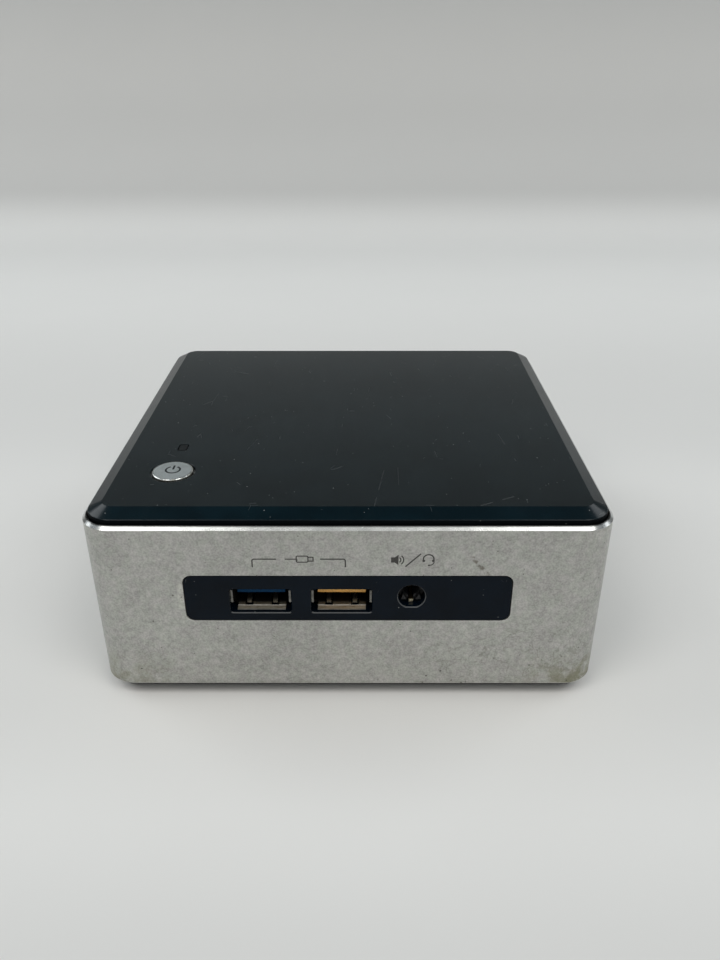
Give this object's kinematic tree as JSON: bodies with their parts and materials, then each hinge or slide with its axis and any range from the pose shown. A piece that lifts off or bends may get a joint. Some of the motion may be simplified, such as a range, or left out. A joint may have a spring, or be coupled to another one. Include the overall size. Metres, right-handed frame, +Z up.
{
  "type": "mini pc",
  "caption": "Small square desktop computer: silver metal case, glossy black lid with round power button, front window with USB ports and headset jack.",
  "frame": {"origin": "on the surface that the computer stands on, under the middle of the case", "axes": "+Z up, -Y towards the front with the two USB ports and the headset jack, +X to the right as seen from the front"},
  "size_m": [0.115, 0.111, 0.049],
  "materials": {
    "case_metal": "fine blasted satin, light handling stains",
    "lid_gloss": "high gloss moulded, fine scratches",
    "button_metal": "satin plated face with a polished rim",
    "window_gloss": "high gloss, infrared-clear black",
    "black_plastic": "fine moulded texture",
    "natural_plastic": "moulded, ivory",
    "usb_blue": "moulded",
    "usb_amber": "moulded",
    "sheet_steel": "tin-plated sheet",
    "zinc_steel": "zinc-plated pressing",
    "contact_gold": "gold flash",
    "spring_steel": "drawn wire",
    "clear_light": "frosted light guide",
    "board_green": "solder mask over copper tracks",
    "chip_black": "moulded epoxy",
    "silicon": "polished die",
    "copper": "bare copper, lightly tarnished",
    "fin_metal": "stamped sheet",
    "screw_black": "black zinc",
    "screw_steel": "nickel-plated",
    "cell_steel": "rolled steel can",
    "lead_black": "soft jacket",
    "foot_rubber": "soft, slightly dusty",
    "drive_metal": "anodised sheet",
    "cable_grey": "flat cable jacket"
  },
  "bodies": {
    "case": {"main_shell": "case_metal", "top_lid": "lid_gloss", "lid_screws": "screw_black", "button_guide": "black_plastic", "button_spring": "spring_steel", "drive_light_pipe": "clear_light", "power_switch_body": "chip_black", "front_bezel": "window_gloss", "infrared_receiver": "chip_black", "front_usb_shell_left": "sheet_steel", "front_usb_tongue_left": "usb_blue", "front_usb_shell_right": "sheet_steel", "front_usb_tongue_right": "usb_amber", "audio_jack_body": "black_plastic", "port_contacts": "contact_gold", "rear_panel": "black_plastic", "dc_inlet_body": "black_plastic", "dc_inlet_contacts": "contact_gold", "video_port_shells": "sheet_steel", "video_port_tongues": "black_plastic", "lan_shell": "sheet_steel", "lan_insert": "black_plastic", "lan_lights": "clear_light", "rear_usb_shell": "sheet_steel", "rear_usb_tongues": "usb_blue", "motherboard": "board_green", "board_parts_above": "chip_black", "board_parts_below": "chip_black", "cpu_package": "board_green", "cpu_dies": "silicon", "heatsink_plate": "copper", "heat_pipe": "copper", "heatsink_fins": "fin_metal", "blower_housing": "black_plastic", "blower_bush": "contact_gold", "blower_stator": "copper", "board_leads": "lead_black", "memory_sockets": "natural_plastic", "memory_modules": "board_green", "m2_socket": "black_plastic", "m2_drive": "board_green", "board_screws": "screw_steel", "radio_module": "sheet_steel", "aerials": "black_plastic", "aerial_leads": "lead_black", "clock_battery": "cell_steel", "drive_cable_plugs": "black_plastic", "drive_cable": "cable_grey", "cover_standoffs": "screw_steel", "side_screens": "black_plastic"},
    "button": {"power_button": "button_metal", "power_switch_plunger": "black_plastic"},
    "blower": {"blower_impeller": "black_plastic"},
    "base": {"base_cover": "black_plastic", "rubber_feet": "foot_rubber", "captive_screws": "screw_steel", "drive_bracket": "zinc_steel", "drive_screws": "screw_steel", "drive_case": "drive_metal", "drive_backplane": "board_green"}
  },
  "joints": [
    {"name": "power_button_press", "type": "slide", "parent": "case", "child": "button", "axis": [0, 0, -1], "range_m": [0, 0.0006], "stiffness_N_per_m": 900, "springref_m": -0.0009, "deforming": ["button_spring"]},
    {"name": "blower_spin", "type": "hinge", "parent": "case", "child": "blower", "pos_m": [-0.002, -0.006, 0.0406], "axis": [0, 0, 1], "continuous": true},
    {"name": "base_cover_removal", "type": "slide", "parent": "case", "child": "base", "axis": [0, 0, -1], "range_m": [0, 0.03], "deforming": ["drive_cable"]}
  ]
}
